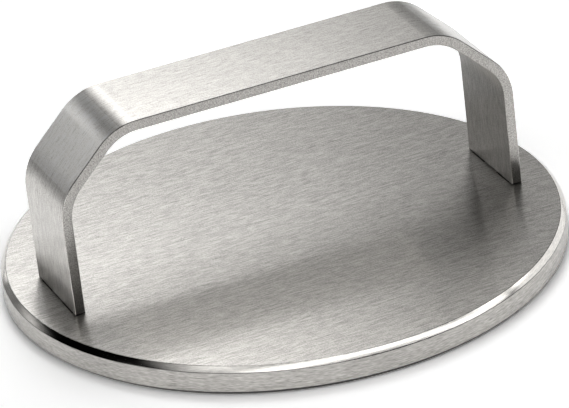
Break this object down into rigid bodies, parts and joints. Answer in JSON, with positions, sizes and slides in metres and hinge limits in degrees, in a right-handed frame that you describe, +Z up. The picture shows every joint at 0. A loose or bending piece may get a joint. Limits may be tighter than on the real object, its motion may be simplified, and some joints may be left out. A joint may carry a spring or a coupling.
{
  "type": "smash burger press",
  "caption": "Round bevelled steel pressing plate with a bent flat-strap handle on through-tenons, welded flush from beneath.",
  "frame": {"origin": "centre of the pressing face, which is the underside of the plate", "axes": "+Z up, square to the plate; X runs along the handle from foot to foot; Y runs across the strap"},
  "size_m": [0.152, 0.152, 0.058],
  "materials": {
    "plate_steel": "straight brushed on the flats, polished on the bevels",
    "strap_steel": "brushed along the strap, fine matte edges",
    "weld_metal": "ground flush"
  },
  "bodies": {
    "root": {"base_plate": "plate_steel", "handle_strap": "strap_steel", "weld_left_front": "weld_metal", "weld_left_back": "weld_metal", "weld_right_front": "weld_metal", "weld_right_back": "weld_metal"}
  },
  "joints": []
}
